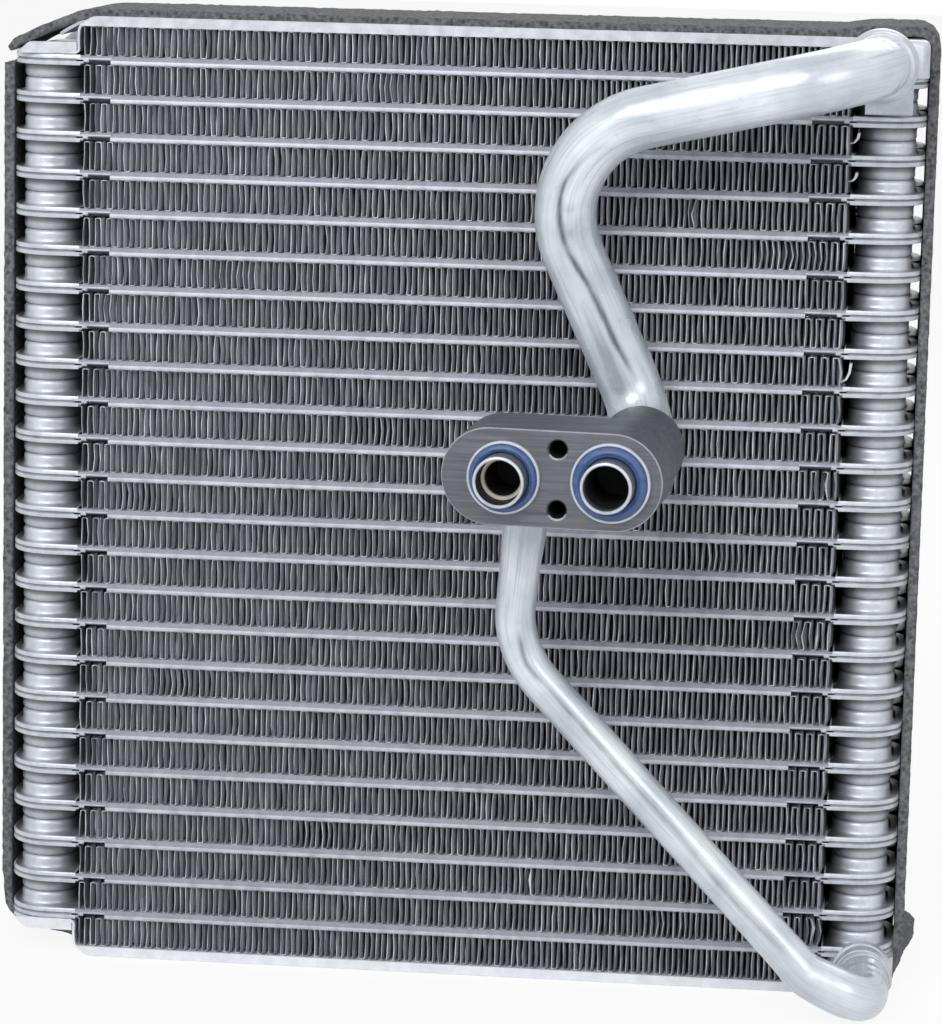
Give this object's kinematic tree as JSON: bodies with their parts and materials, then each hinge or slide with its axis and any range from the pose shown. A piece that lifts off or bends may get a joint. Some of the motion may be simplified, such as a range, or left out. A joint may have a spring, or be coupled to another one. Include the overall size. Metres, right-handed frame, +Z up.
{
  "type": "evaporator core",
  "caption": "Plate and fin evaporator core with end tanks, side plates, foam edge seals and two pipes that run to a connector block in front.",
  "frame": {"origin": "middle of the underside of the lower side plate's front lip, on which the core stands", "axes": "+X to the right seen from the pipes' side, +Y from the front face to the back, +Z up"},
  "size_m": [0.2514, 0.1401, 0.2572],
  "materials": {
    "core_aluminium": "brazed sheet, dull silver",
    "fin_aluminium": "thin folded foil",
    "pipe_aluminium": "drawn tube, satin",
    "block_aluminium": "milled, dull grey",
    "seal_rubber": "matte",
    "foam": "cellular foam, matte"
  },
  "bodies": {
    "root": {"tube_01": "core_aluminium", "tube_02": "core_aluminium", "tube_03": "core_aluminium", "tube_04": "core_aluminium", "tube_05": "core_aluminium", "tube_06": "core_aluminium", "tube_07": "core_aluminium", "tube_08": "core_aluminium", "tube_09": "core_aluminium", "tube_10": "core_aluminium", "tube_11": "core_aluminium", "tube_12": "core_aluminium", "tube_13": "core_aluminium", "tube_14": "core_aluminium", "tube_15": "core_aluminium", "tube_16": "core_aluminium", "tube_17": "core_aluminium", "tube_18": "core_aluminium", "tube_19": "core_aluminium", "tube_20": "core_aluminium", "tube_21": "core_aluminium", "tube_22": "core_aluminium", "tube_23": "core_aluminium", "tube_24": "core_aluminium", "fin_01": "fin_aluminium", "fin_02": "fin_aluminium", "fin_03": "fin_aluminium", "fin_04": "fin_aluminium", "fin_05": "fin_aluminium", "fin_06": "fin_aluminium", "fin_07": "fin_aluminium", "fin_08": "fin_aluminium", "fin_09": "fin_aluminium", "fin_10": "fin_aluminium", "fin_11": "fin_aluminium", "fin_12": "fin_aluminium", "fin_13": "fin_aluminium", "fin_14": "fin_aluminium", "fin_15": "fin_aluminium", "fin_16": "fin_aluminium", "fin_17": "fin_aluminium", "fin_18": "fin_aluminium", "fin_19": "fin_aluminium", "fin_20": "fin_aluminium", "fin_21": "fin_aluminium", "fin_22": "fin_aluminium", "fin_23": "fin_aluminium", "fin_24": "fin_aluminium", "fin_25": "fin_aluminium", "upper_side_plate": "core_aluminium", "lower_side_plate": "core_aluminium", "suction_adapter": "core_aluminium", "liquid_adapter": "core_aluminium", "suction_pipe": "pipe_aluminium", "liquid_pipe": "pipe_aluminium", "connector_block": "block_aluminium", "suction_seal_ring": "seal_rubber", "liquid_seal_ring": "seal_rubber", "foam_upper": "foam", "foam_left": "foam"}
  },
  "joints": []
}
